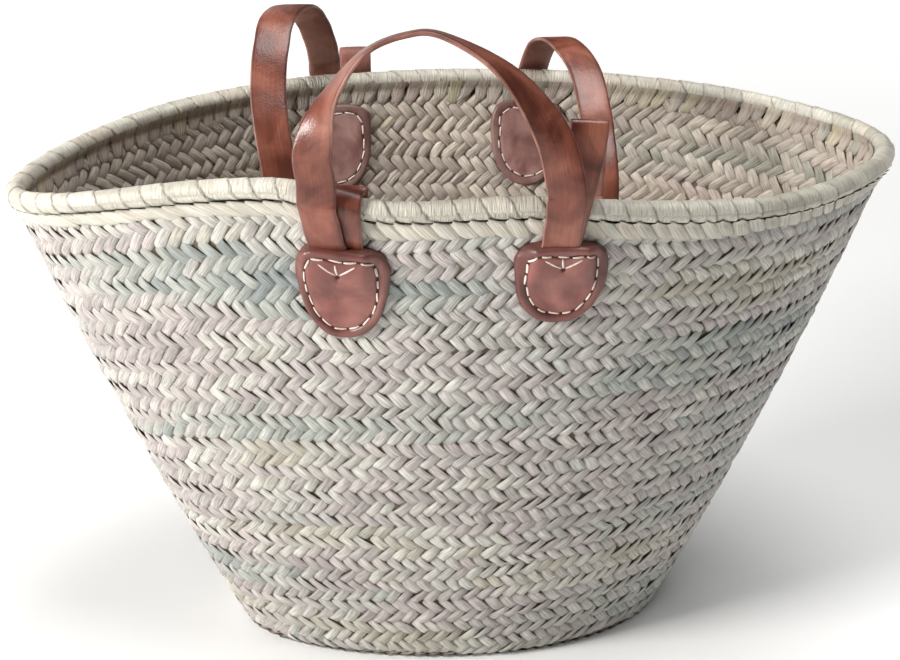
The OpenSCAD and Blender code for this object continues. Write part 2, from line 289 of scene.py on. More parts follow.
def leaf_material(name, palette, dark, fibre_scale=1.0, rough=0.55, contrast=1.0):
    """Dry palm leaf. Tint's red picks from the palette, its green is the lightness, and low blue mixes in
    dark, the painted shade of the gaps. The fibres run along v of the UV map."""
    paint = Paint(name)
    pick, light, unshaded = paint.tint()
    colour = paint.ramp(pick, [(k / (len(palette) - 1), c) for k, c in enumerate(palette)])
    fibre = paint.noise(paint.uv(1.35 * fibre_scale, 0.09 * fibre_scale), 1.0, 4.0)
    lines = paint.remap(fibre, 0.3, 0.7, 1 - 0.42 * contrast, 1 + 0.14 * contrast)
    blotches = paint.remap(paint.noise(paint.uv(1, 1), 0.09, 3.0), 0.3, 0.75, 0.86, 1.08)
    colour = paint.shaded(colour, paint.times(paint.times(lines, blotches), light))
    paint.feed(paint.shader, Base_Color=paint.mix(unshaded, linear(*dark), colour), Roughness=rough)
    paint.bump(fibre, 0.9, 0.001)
    return paint.material


def leather_material(name, light, mid, dark, rough=0.42, grain=1.0, mottle=0.14, streak=0.0):
    """Waxed leather. Tint's red darkens the worn edges, the stitch grooves and stains, and paints shade into
    the patches' awl holes; its green is a broad tone. Streaks run along v of the UV map."""
    paint = Paint(name)
    place = paint.place()
    worn, tone, _ = paint.tint()
    mottles = paint.noise(place, 38.0, 5.0, 0.6)
    colour = paint.ramp(mottles, ((0.5 - mottle, dark), (0.5, mid), (0.5 + mottle, light)))
    if streak:
        lines = paint.noise(paint.uv(1.1, 0.03), 1.0, 5.0)
        tone = paint.times(paint.remap(lines, 0.3, 0.7, 1 - streak, 1 + 0.6 * streak), tone)
    colour = paint.mix(worn, paint.shaded(colour, tone), linear(*(0.45 * c for c in dark)))
    paint.feed(paint.shader, Base_Color=colour, Roughness=rough)
    pores = paint.add("TexVoronoi", Vector=place, Scale=900.0)
    surface = paint.add("Math")
    surface.operation = "MULTIPLY_ADD"
    surface.inputs[1].default_value = 0.5
    paint.links.new(pores.outputs["Distance"], surface.inputs[0])
    paint.links.new(paint.noise(place, 160.0, 6.0), surface.inputs[2])
    paint.bump(surface.outputs["Value"], 0.3 * grain, 0.0005)
    return paint.material


def plain_material(name, colour, rough, noise_scale=400.0, spread=0.15):
    paint = Paint(name)
    dark = [c * (1 - spread) for c in colour]
    light = [min(c * (1 + spread), 255) for c in colour]
    shade = paint.ramp(paint.noise(paint.place(), noise_scale), ((0.3, dark), (0.7, light)))
    paint.feed(paint.shader, Base_Color=shade, Roughness=rough)
    return paint.material


OUTSIDE = ((152, 159, 156), (186, 189, 180), (202, 197, 190), (196, 185, 181), (216, 213, 203),
    (198, 191, 174))
INSIDE = ((172, 170, 156), (206, 196, 182), (192, 178, 166), (216, 206, 188), (202, 184, 174),
    (208, 200, 170))
RIM = ((198, 192, 176), (214, 210, 196), (206, 196, 180))
# each leaf's third colour is the painted shade mixed into the floats' gaps
leaf_outside = leaf_material("leaf_outside", OUTSIDE, (70, 58, 46), rough=0.46)
leaf_inside = leaf_material("leaf_inside", INSIDE, (56, 44, 34), rough=0.56)
leaf_rim = leaf_material("leaf_rim", RIM, (96, 82, 66), fibre_scale=0.7, rough=0.45, contrast=0.7)
# the heart's dark colour is painted shade, seen in the gaps between the floats
shade_core = plain_material("leaf_shade_core", (104, 92, 76), 0.9)
strap_grain = leather_material("strap_grain", (150, 92, 74), (126, 70, 54), (94, 48, 37),
    rough=0.34, streak=0.2)
strap_flesh = leather_material("strap_flesh", (178, 128, 114), (158, 106, 92), (132, 82, 70),
    rough=0.6, grain=1.6, streak=0.12)
strap_edge = leather_material("strap_edge", (168, 120, 104), (144, 96, 82), (112, 68, 56), rough=0.5)
patch_leather = leather_material("patch_leather", (152, 98, 88), (130, 76, 68), (102, 54, 48),
    rough=0.36, mottle=0.2)
inner_leather = leather_material("inner_leather", (172, 136, 128), (150, 112, 106), (118, 80, 74))
thread_white = plain_material("waxed_thread", (214, 198, 186), 0.55, 1200.0, 0.1)
# dark discs of painted shade in the thread holes and the awl hole
hole_shade = plain_material("hole_painted_shade", (66, 36, 30), 0.9)


# ---- the plaited wall
PITCH = 9.4  # from one float to the next along a row
ROWS = 7  # rows of floats across the plaited strip
TUCK = 0.42  # how far a float runs on under its neighbours, as a share of half its length
ALONG, ACROSS = 8, 7  # points of one float
CROWN = 3.0  # height of a float's back over the wall's middle surface
BASE_CROWN = 2.3  # and in the base
FOOT_CROWN = 2.2  # and at the wall's foot
HEART = 0.9  # how far the faces of the heart, a dark sheet of painted shade, are off the middle
LOW_T = -0.018  # the wall's lowest edge, as t
FOOT_IN, FOOT_H = 3.2, 7.0  # how far the wall's foot curls in, and from what height down
FOOT_UP = 3.2  # height of the foot's own row of floats
SWAY = 1.6  # how far the rows wander up and down
JOIN = 0.55  # floats that run on past the strip's join, so that no gap opens there
ROW_H = RISE * WALL_H / ROWS
# each float's own grid: -1 to 1 along the part that is seen, and -1 to 1 across
LONG = np.linspace(-1 - TUCK, 1 + TUCK, ALONG)[None, :, None]
WIDE = np.linspace(-1, 1, ACROSS)[None, None, :]


def each(values):
    """One value for each float, ready to meet the floats' own grids."""
    return np.asarray(values)[:, None, None]


def strip_table():
    """Turns travelled along the spiral, and the number of floats passed by then."""
    tau = np.linspace(0, TURNS + 1, 6001)
    t = np.clip((tau - 0.5) * RISE, 0, WALL_TOP)
    return tau, walked(wall(tau * 360, t)) / PITCH


strip_tau, strip_count = strip_table()


def on_strip(n, row, height):
    """A point of the plaited strip: n floats along it, row rows up it, and that high off the middle."""
    tau = np.interp(n, strip_count, strip_tau)
    t = (tau - 1 + row / ROWS) * RISE
    sway = SWAY * soft_noise(n / 26, row * 0.45, 41) * smooth(t, 0.0, 0.08) * (1 - smooth(t, 0.86, 0.95))
    t = np.clip(t + sway / WALL_H, LOW_T, WALL_TOP)
    return off_wall(tau * 360, t, height - round_foot(t))


def round_foot(t):
    """How far the wall's foot curls inwards where it meets the base."""
    above = (np.asarray(t) - LOW_T) * WALL_H
    return FOOT_IN * np.clip(1 - above / FOOT_H, 0, 1) ** 2


def float_profile(crown, lean=0.0, crease=(0.0, 0.0)):
    """Height of a float over the middle surface. crease is the place and depth of a fold along it."""
    along, across = np.abs(LONG), WIDE
    arch = 1 - 0.2 * along ** 2 - 0.6 * smooth(along, 0.6, 1.0 + TUCK)
    side = 1 - 0.48 * np.abs(across) ** 3.0 + 0.24 * across * lean
    fold = crease[1] * np.exp(-((across - crease[0]) / 0.16) ** 2) * (1 - 0.5 * along)
    return crown * arch * side - fold


def float_grid(n_mid, row_mid, turn, width):
    """Places along the strip and across its rows, for floats given by their middles. turn is 1 where they
    rise towards the strip's end and -1 where they fall."""
    half = 0.25 * WIDE * width * (1 - 0.10 * smooth(np.abs(LONG), 0.9, 1 + TUCK))
    return n_mid + turn * (0.5 * LONG + half), row_mid + 0.5 * LONG - half


def leaf_tint(pick, light, gap, n):
    """Tint for leaf_material: a place in the palette, a lightness, and the painted shade of the gaps."""
    return np.stack([pick + 0 * n, light + 0 * n, 1 - gap.clip(0, 0.8) + 0 * n, 1 + 0 * n], -1)


def leaf_uv(n, count, r):
    """Each float's own stretch of leaf, in millimetres."""
    shift = r.uniform(0, 400, (count, 1, 1))
    return np.stack([3.6 * WIDE + shift + 0 * n, 7.2 * LONG + 3 * shift + 0 * n], -1)


def mixed_leaf(n, count, r, light, gap):
    """Tint and uv of floats whose colours don't follow the strip's batches."""
    tone = each(r.uniform(0, 1, count))
    tint = leaf_tint(tone, each(light + 0.05 * r.standard_normal(count)), gap, n)
    return tint, leaf_uv(n, count, r)


def floats(n_mid, row_mid, rising, inside, seed):
    """Points, uv and tint of plaited floats given by their middles."""
    r = np.random.default_rng(seed)
    count = len(n_mid)
    width = each((1.12 + 0.06 * r.standard_normal(count)).clip(0.94, 1.24))
    sway = each(0.045 * r.standard_normal(count))
    n, row = float_grid(each(n_mid), each(row_mid), each(np.where(rising, 1.0, -1.0)), width)
    n = n + sway * (1 + LONG)
    crown = each(CROWN * (0.95 + 0.06 * r.standard_normal(count)).clip(0.78, 1.05))
    lean = each((-0.8 + 0.6 * r.standard_normal(count)).clip(-1.7, 0.8))
    folded = each(np.where(r.uniform(0, 1, count) < 0.6, r.uniform(0.3, 1.0, count), 0))
    height = float_profile(crown, lean, (each(r.uniform(-0.5, 0.5, count)), folded))
    points = on_strip(n, row, height * each(np.where(inside, -1.0, 1.0)))
    # a batch tone that changes slowly along the strip, a strand's own tone, and painted shade at the floats'
    # ends and sides
    strand = np.round(n_mid - np.where(rising, 1, -1) * row_mid)
    own = own_random(strand * 12.9898 + np.where(rising, 3.1, 7.7))
    batch = 0.5 + 0.75 * soft_noise(n_mid / 60, row_mid * 0.22 + n_mid / 45, 3)
    pick = (0.84 * batch + 0.16 * own + 0.05 * r.standard_normal(count)).clip(0, 1)
    band = 0.10 * soft_noise(n_mid / 90, row_mid * 0.3 + n_mid / 50, 13)
    light = (0.97 + 0.055 * r.standard_normal(count) + 0.07 * (own - 0.5) + band).clip(0.66, 1.16)
    # painted shade: darker towards each float's ends and sides, more on one side, and less inside
    gap = 0.6 * smooth(np.abs(LONG), 0.95, 1.3)
    gap = gap + (0.5 + 0.2 * WIDE) * smooth(np.abs(WIDE), 0.72, 1.0)
    gap = gap * each(np.where(inside, 0.7, 1.0))
    return points, leaf_uv(n, count, r), leaf_tint(each(pick), each(light), gap, n)


def course_floats(k):
    """Middles of one turn's floats, along and across, whether each rises and whether it is inside."""
    found = []
    first, last = np.interp([k - 1, k], strip_tau, strip_count)
    for row in range(ROWS):
        for inside in (False, True):
            even = (row + k) % 2 == 0
            phase = 0.0 if even else 0.5
            n = np.arange(math.ceil(first - phase - JOIN), math.ceil(last - phase + JOIN)) + phase
            n = n[(n > 0) & (n < strip_count[-1])]
            t = (np.interp(n, strip_count, strip_tau) - 1 + (row + 0.5) / ROWS) * RISE
            n = n[(t > -0.3 * RISE / ROWS) & (t < WALL_TOP)]
            found += [(middle, row + 0.5, even != inside, inside) for middle in n]
    return np.array(found).T


def weave_piece(name, weave, heart, heart_quads, node):
    """A piece of floats, and the heart, a dark sheet of painted shade that is seen in their gaps. weave
    holds the floats' points, uv, tint, which are turned over and which are inside."""
    points, uv, tint, flips, inside = weave
    points, heart = points.reshape(-1, 3), heart.reshape(-1, 3)
    quads = np.concatenate([many_grids(ALONG, ACROSS, flips), heart_quads + len(points)])
    material = np.repeat(np.where(inside, 1, 0), (ALONG - 1) * (ACROSS - 1))
    material = np.concatenate([material, np.full(len(heart_quads), 2)])
    uv = np.concatenate([uv.reshape(-1, 2), np.zeros((len(heart), 2))])
    tint = np.concatenate([tint.reshape(-1, 4), np.ones((len(heart), 4))])
    piece = make_mesh(name, np.concatenate([points, heart]), quads, (leaf_outside, leaf_inside, shade_core),
        material, uv, tint)
    finish_piece(piece, (node,))


def build_course(k):
    n, row, rising, inside = course_floats(k)
    rising, inside = rising > 0.5, inside > 0.5
    points, uv, tint = floats(n, row, rising, inside, 100 + k)
    steps, rows = 160, 7
    tau = np.linspace(k - 1, k, steps)[:, None] + np.zeros((1, rows))
    t = np.clip((tau - 1 + np.linspace(0, 1, rows)) * RISE, LOW_T, WALL_TOP)
    # the heart: two dark sheets of painted shade just inside the floats
    heart = np.stack([off_wall(tau * 360, t, HEART - round_foot(t)), off_wall(tau * 360, t, -HEART + 0 * t)])
    faces = grid_quads(steps, rows)
    heart_quads = np.concatenate([faces[:, ::-1], faces + steps * rows])
    weave_piece(f"weave_{k}", (points, uv, tint, rising != inside, inside), heart, heart_quads,
        f"course_{k}")


for k in range(1, TURNS + 2):
    build_course(k)


def build_foot():
    """The strip's first edge, turned in under the wall all the way round."""
    u = np.linspace(0, 360, 1081)
    walk = walked(wall(u, 0))
    count = int(walk[-1] / PITCH)
    r = np.random.default_rng(66)
    n = each(np.arange(count)) + 0.5 * LONG + 0.25 * WIDE
    up = FOOT_UP + (0.5 * LONG - 0.25 * WIDE) * ROW_H + 0 * n
    t = np.clip(up / WALL_H, LOW_T, 1)
    angle = np.interp(n / count % 1 * walk[-1], walk, u)
    height = float_profile(FOOT_CROWN, each(r.uniform(-1, 1, count))) - round_foot(t)
    # painted shade along the sides of the foot's floats
    tint, uv = mixed_leaf(n, count, r, 0.94, 0.4 * smooth(np.abs(WIDE), 0.6, 1.05))
    quads = many_grids(ALONG, ACROSS, np.full(count, True))
    piece = make_mesh("weave_foot", off_wall(angle, t, height), quads, (leaf_outside,), uv=uv, tint=tint)
    finish_piece(piece)


build_foot()


# ---- the base, a flat oval of the same strip
BASE_RINGS = 8
BASE_EDGE = 0.6  # how far the base's weave reaches out past the wall's middle surface


def base_oval(u, inset):
    """The base's outline, drawn in by inset."""
    shrink = [(BASE_EDGE - inset) / half + 1 for half in (BASE_A, BASE_B)]
    return wall(u, 0)[..., :2] * np.stack([s + 0 * u for s in shrink], -1)


def build_base():
    step = (BASE_B + BASE_EDGE) / (BASE_RINGS + 0.02)
    # painted shade at the ends and sides of the base's floats
    gap = 0.5 * smooth(np.abs(LONG), 0.85, 1.2) + 0.3 * smooth(np.abs(WIDE), 0.55, 1.0)
    r = np.random.default_rng(55)
    u = np.linspace(0, 360, 721)
    weave = [[], [], [], [], []]
    for ring in range(BASE_RINGS):
        walk = walked(base_oval(u, (ring + 0.5) * step))
        count = max(int(round(walk[-1] / PITCH)), 8)
        for below in (False, True):
            rising = (ring % 2 == 0) != below
            middles = each(np.arange(count)) + 0.5 * (ring % 2)
            n, row = float_grid(middles, ring + 0.5, 1.0 if rising else -1.0, 0.94)
            angle = np.interp((n / count % 1) * walk[-1], walk, u)
            flat = base_oval(angle, row.clip(0.02, BASE_RINGS + 0.02) * step)
            height = float_profile(BASE_CROWN, each(r.uniform(-1, 1, count)))
            z = WALL_HALF + (-height if below else height)
            tint, uv = mixed_leaf(n, count, r, 0.96, gap)
            floats_here = (np.concatenate([flat, z[..., None]], -1), uv, tint,
                np.full(count, (not rising) != below), np.full(count, not below))
            for part, found in zip(weave, floats_here):
                part.append(found)
    u = np.linspace(0, 360, 97)[:-1]
    insets = np.linspace(0, BASE_B + BASE_EDGE, 6)
    # the base's heart, a dark sheet of painted shade under its floats
    heart = [np.column_stack([base_oval(u, i), np.full(len(u), WALL_HALF)]) for i in insets]
    heart_quads = grid_quads(len(insets), len(u), wrap_cols=True)
    weave_piece("base_weave", [np.concatenate(part) for part in weave], np.stack(heart), heart_quads,
        "base")


build_base()


# ---- the rim
rim_u = np.linspace(0, 360, 1441)
rim_length = walked(wall(rim_u, 1))
RIM_TOTAL = rim_length[-1]
ROPE_STEPS, ROPE_AROUND = 1500, 26
WRAPS = 84  # turns of the leaf round the rope
LACING_ROWS, LACING_COLS = 9, 6


def rim_angle(s):
    return np.interp(np.mod(s, RIM_TOTAL), rim_length, rim_u)


def rim_frame(s):
    """The rope's middle, its way outwards and upwards, at s millimetres round the mouth."""
    u = rim_angle(s)
    along = unit(wall(u + 0.4, 1) - wall(u - 0.4, 1))
    out = outward(u, 1) * (1, 1, 0)
    out = unit(out - along * np.sum(out * along, -1, keepdims=True))
    return wall(u, 1), out, unit(np.cross(out, along))


def build_rim():
    """The rope wound with flat leaf. Each turn overlaps the last, and its edge makes a slanting step."""
    s = np.linspace(0, RIM_TOTAL, ROPE_STEPS, endpoint=False)[:, None]
    theta = np.linspace(0, math.tau, ROPE_AROUND, endpoint=False)[None, :]
    middle, out, up = rim_frame(s[:, 0])
    phase = s / RIM_TOTAL * WRAPS + theta / math.tau
    phase = phase + 0.35 * soft_noise(s / 60, s * 0, 6) + 0.05 * soft_noise(s / 9, theta / 2, 16)
    turn = np.floor(phase)
    saw = phase - turn
    radius = ROPE_R - 0.25 + 0.42 * saw ** 1.4 - 0.5 * np.exp(-((saw - 0.02) / 0.03) ** 2)
    radius = radius + 0.16 * np.sin(turn * 7.3) + 0.112 * soft_noise(s / 37, theta * 0.0, 5)
    radius = np.minimum(radius + 0.12 * np.sin(theta * 5 + turn), ROPE_R + 0.35)
    way = np.cos(theta)[..., None] * out[:, None] + np.sin(theta)[..., None] * up[:, None]
    own = own_random(turn * 12.9898)
    # painted shade at the step where each turn of leaf overlaps the last
    crease = 0.75 * np.exp(-((saw - 0.01) / 0.035) ** 2) + 0.35 * np.exp(-((saw - 1) / 0.03) ** 2)
    light = 1 + 0.14 * (own - 0.5) + 0.03 * np.sin(theta * 3 + s / 40)
    tint = np.stack([own, light, 1 - crease.clip(0, 0.85), np.ones_like(own)], -1)
    uv = np.stack([s + 0 * theta, theta * ROPE_R * 1.4 + 40 * own], -1)
    quads = grid_quads(ROPE_STEPS, ROPE_AROUND, wrap_rows=True, wrap_cols=True)[:, ::-1]
    points = middle[:, None] + radius[..., None] * way
    piece = make_mesh("rim_wrapping", points, quads, (leaf_rim,), uv=uv, tint=tint)
    finish_piece(piece, ("rim_wrap", "rim_core"))


build_rim()


def tongue(s_mid, width, slant, top, bottom, puff, side, tone, r):
    """A tongue of leaf, from top to bottom millimetres under the rope's middle. side is -1 inside."""
    a = np.linspace(0, 1, LACING_ROWS)[:, None]
    c = np.linspace(-1, 1, LACING_COLS)[None, :]
    if side > 0:
        width = width * (0.12 + 0.88 * smooth(a, 0.0, 0.34)) * (1 - 0.45 * smooth(a, 0.75, 1.0) * c ** 2)
    else:
        width = width * (1 - 0.5 * a ** 1.6)
    s = s_mid + slant * (a - 0.5) + 0.5 * width * c
    down = top + (bottom - top) * a
    u, t = rim_angle(s), 1 - down / WALL_H
    rope = np.sqrt(np.maximum(ROPE_R ** 2 - down ** 2, 0))
    full = (1 - 0.55 * np.abs(c) ** 2.4) * np.sin(math.pi * (0.12 + 0.83 * a)) ** 0.7
    gap = np.maximum(rope + 0.5, WALL_HALF) + puff * full - 0.7 * smooth(a, 0.85, 1.0)
    # painted shade along the tongue's sides, more on one side, and at its lower end where it tucks under
    dark = 0.5 * smooth(c * side, 0.55, 1.0) + 0.2 * smooth(-c * side, 0.75, 1.0)
    dark = dark + 0.35 * smooth(a, 0.85, 1.0)
    tint = leaf_tint(tone, r.uniform(0.92, 1.06), dark, s)
    shift = r.uniform(0, 300)
    return off_wall(u, t, gap * side), np.stack([4 * c + shift + 0 * s, 12 * a + shift + 0 * s], -1), tint


def build_lacing():
    """Leaf laced over the rope's foot: slanting tongues outside, and narrow wedges inside."""
    r = np.random.default_rng(21)
    tongues = []
    outer, inner = int(RIM_TOTAL / 10.4), int(RIM_TOTAL / 10.2)
    for k in range(outer):
        s = (k + 0.5) * RIM_TOTAL / outer + r.normal(0, 0.7)
        x, y, _ = wall(rim_angle(s), 1)
        # on the front, the tongues slant more towards the left and less towards the right
        left = float(smooth(-x, 100, 135)) * (y < 0)
        right = float(smooth(x, 120, 170)) * (y < 0)
        width = 12.6 + 3.0 * left - 1.5 * right + r.normal(0, 0.6)
        slant = 11 + 5 * left - 6 * right + r.normal(0, 1.0)
        bottom = 17.2 - 2.6 * left - 2.4 * right + r.normal(0, 0.6)
        tone = r.uniform(0, 1)
        tongues.append(tongue(s, width, slant, 3.0 + 1.4 * left, bottom, 1.9 - 0.5 * left, 1, tone, r))
    for k in range(inner):
        s = (k + 0.5) * RIM_TOTAL / inner + r.normal(0, 0.8)
        width, slant, bottom = 11.5 + r.normal(0, 1.0), 5 + r.normal(0, 1.5), 17.0 + r.normal(0, 1.6)
        tongues.append(tongue(s, width, slant, 1.5, bottom, 0.9, -1, r.uniform(0, 1), r))
    points, uv, tint = (np.stack(part) for part in zip(*tongues))
    inside = np.arange(len(tongues)) >= outer
    material = np.repeat(np.where(inside, 1, 0), (LACING_ROWS - 1) * (LACING_COLS - 1))
    piece = make_mesh("rim_lacing_leaf", points, many_grids(LACING_ROWS, LACING_COLS, ~inside),
        (leaf_rim, leaf_inside), material, uv, tint)
    finish_piece(piece, ("rim_lacing",))


build_lacing()


# ---- patches and their stitches
PATCH_W, PATCH_H = 55.0, 61.0
PLACES = ("front_left", "front_right", "back_left", "back_right")
PATCH_X = (-86, 35, -72, 69)  # a patch's middle on the wall
PATCH_SIDE = (-1, -1, 1, 1)  # front or back wall
PATCH_T = (0.847, 0.872, 0.866, 0.866)  # the middle's height, as t
PATCH_SIZE = (1.02, 0.9, 1.03, 1.03)  # share of PATCH_H
BULGE_X = ((-19, 13), (-15, 13), (-23, 18), (-24, 15))  # where the strap ends lie under the leather
PATCH_GAP = WALL_HALF + 0.05  # from the wall's middle to the leather
OUTER_SKIN, INNER_SKIN = 3.1, 2.9  # the leather's thickness
RINGS_IN = (0, 0, 0.3, 0.8, 1.5, 2.5, 3.7, 4.8, 5.5, 6.0, 6.6, 7.2, 7.8, 9.0)  # from the edge inwards
RINGS_ON = (0.86, 0.72, 0.57, 0.43, 0.3, 0.18, 0.09, 0.03, 0.012)  # then shares of the way to the awl hole
STITCH_IN = 6.6  # the stitches' distance from the patch's edge
STITCHES, STITCH_SHARE = 17, 0.86  # stitches of a patch, and how much of its room each fills
STITCH_HOLE, AWL_HOLE = 0.75, 1.9  # radii of the holes
THREAD_R = 0.64  # the thread's radius


def patch_edge(angle, size):
    """The shield outline: square shoulders at the top, a round bottom."""
    s, c = np.sin(angle), np.cos(angle)
    y = np.sign(s) * np.abs(s) ** np.where(s > 0, 0.55, 0.95)
    x = np.sign(c) * np.abs(c) ** np.where(s > 0, 0.6, 0.9)
    return np.stack([x * (0.94 + 0.08 * y) * PATCH_W / 2, y * size * PATCH_H / 2], -1)


class PatchPlace:
    """The wall around the middle of a patch, with x along it and y up it in millimetres."""
    def __init__(self, i):
        self.u = float(angle_at(PATCH_X[i], PATCH_SIDE[i], PATCH_T[i]))
        self.t = PATCH_T[i]
        n = outward(self.u, self.t)
        up = unit(Z - n * n[2])
        right = np.cross(up, n)
        by_u = wall(self.u + 0.5, self.t) - wall(self.u - 0.5, self.t)
        by_t = (wall(self.u, self.t + 0.005) - wall(self.u, self.t - 0.005)) * 100
        plane = np.array([[by_u @ right, by_t @ right], [by_u @ up, by_t @ up]])
        self.back = np.linalg.inv(plane)

    def at(self, x, y, gap):
        u = self.u + self.back[0, 0] * x + self.back[0, 1] * y
        return off_wall(u, self.t + self.back[1, 0] * x + self.back[1, 1] * y, gap)


def cord_grid(start, end):
    """A short cord from hole to hole: x, y and height over the leather. Its ends dive in."""
    start, run = np.array(start), np.array(end) - np.array(start)
    side = np.array([-run[1], run[0]]) / max(np.hypot(*run), 1e-6)
    f = np.linspace(0, 1, 9)[:, None]
    a = np.linspace(0, math.tau, 8, endpoint=False)[None, :]
    arc = np.sin(math.pi * f).clip(0, 1) ** 0.5
    thick = THREAD_R * (0.6 + 0.4 * arc) * (1 + 0.07 * np.sin(f * 26))
    flat = start + run * f[..., None] + side * (np.cos(a) * thick)[..., None]
    return np.concatenate([flat, (0.75 * arc - 0.45 + 0.8 * np.sin(a) * thick)[..., None]], -1)


def hole_grid(x, y, radius):
    """A dished disc where the thread goes through."""
    k = np.linspace(0, 1, 3)[:, None]
    a = np.linspace(0, math.tau, 10, endpoint=False)[None, :]
    reach = radius * (k + 0.01)
    return np.stack([x + reach * np.cos(a), y + reach * np.sin(a), 0.16 - 0.2 * k ** 2 + 0 * a], -1)


def lay_grids(name, grids, lay, material, nodes=()):
    """A piece of separate grids, each closed round its columns, laid on the leather."""
    grids = np.stack(grids)
    count, rows, cols, _ = grids.shape
    quads = many_grids(rows, cols, np.zeros(count, bool), wrap_cols=True)
    piece = make_mesh(name, lay(grids[..., 0], grids[..., 1], grids[..., 2]), quads, (material,))
    finish_piece(piece, nodes)


def running_stitches(edge):
    """Both ends of the stitches round a closed line of points."""
    closed = np.concatenate([edge, edge[:1]])
    walk = walked(closed)
    room = walk[-1] / STITCHES
    r = np.random.default_rng(int(walk[-1] * 10))
    ends = []
    for k in range(STITCHES):
        a = (k + r.uniform(-0.04, 0.04)) * room
        b = a + room * (STITCH_SHARE + r.uniform(-0.05, 0.04))
        at = [np.array([np.interp(v % walk[-1], walk, closed[:, c]) for c in (0, 1)]) for v in (a, b)]
        ends.append((at[0] + r.normal(0, 0.4, 2), at[1] + r.normal(0, 0.4, 2)))
    return ends


def build_patch(i, inside):
    place, size = PatchPlace(i), PATCH_SIZE[i]
    low, high = BULGE_X[i]
    awl = np.array([0.15 * (low + high), 14.5 * size])
    side = -1 if inside else 1

    def top(x, y):
        """Height of the leather's face over its underside, away from the patch's edge."""
        if inside:
            return INNER_SKIN + 0.25 * np.cos(x / 9.0 + i) * np.cos(y / 12.0)
        across = smooth(x, low - 9, low + 1) * (1 - smooth(x, high - 1, high + 9))
        bulge = 6.6 * across * smooth(y, -8, 15)
        dent = 1.1 * np.exp(-((x - awl[0]) ** 2 + (y - awl[1]) ** 2) / 14)
        crease = 0.35 * np.sin(x / 3.1 + 2.0 * np.sin(y / 14 + i)) * smooth(14 - y, 0, 16) * across
        return OUTER_SKIN + bulge - dent + crease

    angles = np.linspace(0, math.tau, 121)[:-1]
    edge = patch_edge(angles, size)
    reach = np.linalg.norm(edge - awl, axis=-1)
    # a raised lip along the edge, and the groove in which the stitches lie
    lip, lip_in, lip_w = (0.2, 3.4, 1.6) if inside else (0.95, 3.0, 2.0)
    groove, groove_w = (0.5, 0.8) if inside else (0.9, 0.9)
    # each ring's darkening: darker at the edge, over the lip and in the stitch groove, and painted shade at
    # the bottom of the awl hole
    rows, ring_darkening_and_hole_shade = [], []
    for k, d in enumerate(RINGS_IN):
        xy = awl + (edge - awl) * (1 - d / reach)[:, None]
        shape = lip * math.exp(-((d - lip_in) / lip_w) ** 2)
        shape = shape - groove * math.exp(-((d - STITCH_IN) / groove_w) ** 2)
        height = top(xy[:, 0], xy[:, 1]) + shape - 1.5 * (1 - min(d / 1.5, 1)) ** 2
        rows.append(np.column_stack([xy, height if k else np.full(len(xy), -0.2)]))
        ring_darkening_and_hole_shade.append(0.45 if d < 1 else 0.6 if abs(d - STITCH_IN) < 0.7 else 0.3 if d < 5.6 else 0.0)
    for f in RINGS_ON:
        xy = awl + (edge - awl) * (1 - RINGS_IN[-1] / reach)[:, None] * f
        hole = 0 if inside else 2.6 * math.exp(-(f / 0.03) ** 2)
        rows.append(np.column_stack([xy, top(xy[:, 0], xy[:, 1]) - hole]))
        ring_darkening_and_hole_shade.append(0.9 if f < 0.02 and not inside else 0.0)
    grid = np.stack(rows)
    # a little unevenness in the hand-cut edge
    wave = 0.35 * np.sin(angles * 5 + i) + 0.25 * np.sin(angles * 9 + 2 * i)
    fade = np.linspace(1, 0, 10)[:, None]
    grid[:len(fade), :, 0] += wave * np.cos(angles) * fade
    x, y = grid[..., 0], grid[..., 1]
    points = place.at(x, y, side * (PATCH_GAP + grid[..., 2]))
    tint = np.ones(points.shape[:2] + (4,))
    tint[..., 0] = np.array(ring_darkening_and_hole_shade)[:, None] + 0.12 * (soft_noise(x / 24, y / 24, 60 + i) > 0.35)
    tint[..., 1] = 1 + 0.12 * soft_noise(x / 40, y / 40, 70 + i, 2)
    quads = grid_quads(len(rows), len(angles), wrap_cols=True)
    if (PATCH_SIDE[i] > 0) == inside:
        quads = quads[:, ::-1]
    where = "inner" if inside else "outer"
    leather, slot = (inner_leather, "inner_patch_leather") if inside else (patch_leather, "patch_leather")
    patch = f"{where}_patch_{PLACES[i]}"
    piece = make_mesh(patch + "_leather", points, quads, (leather,), tint=tint)
    finish_piece(piece, (patch,))

    def on_leather(x, y, rise):
        return place.at(x, y, side * (PATCH_GAP - 0.35 + top(x, y) + rise))

    ends = running_stitches(awl + (edge - awl) * (1 - STITCH_IN / reach)[:, None])
    if not inside:
        # three long stitches fan out from the awl hole
        for across, up in ((-11.5, 22.3), (11.0, 22.6), (-1.0, 22.8)):
            ends.append((awl, (awl[0] + across, up * size)))
    holes = [hole_grid(*p, STITCH_HOLE) for pair in ends for p in pair]
    if not inside:
        holes.append(hole_grid(*awl, AWL_HOLE))
    name = f"{where}_stitches_{PLACES[i]}"
    lay_grids(name, [cord_grid(*pair) for pair in ends], on_leather, thread_white,
        () if inside else (f"thread_{PLACES[i]}",))
    # the holes' discs are painted shade
    lay_grids(name + "_holes", holes, on_leather, hole_shade)


for i in range(len(PLACES)):
    build_patch(i, False)
    build_patch(i, True)


# ---- straps
# the handles are numbered h from 0, and their two ends e are 0 at the left and 1 at the right
HANDLES = ("front_short", "front_long", "back_short", "back_long")
STRAP_W, STRAP_T = 22.0, 3.0
LAYER = 3.6  # a strap that lies on another is this much further out
END_SIDE = (-1, -1, 1, 1)  # front or back wall
END_LAYER = (1, 0, 1, 0)
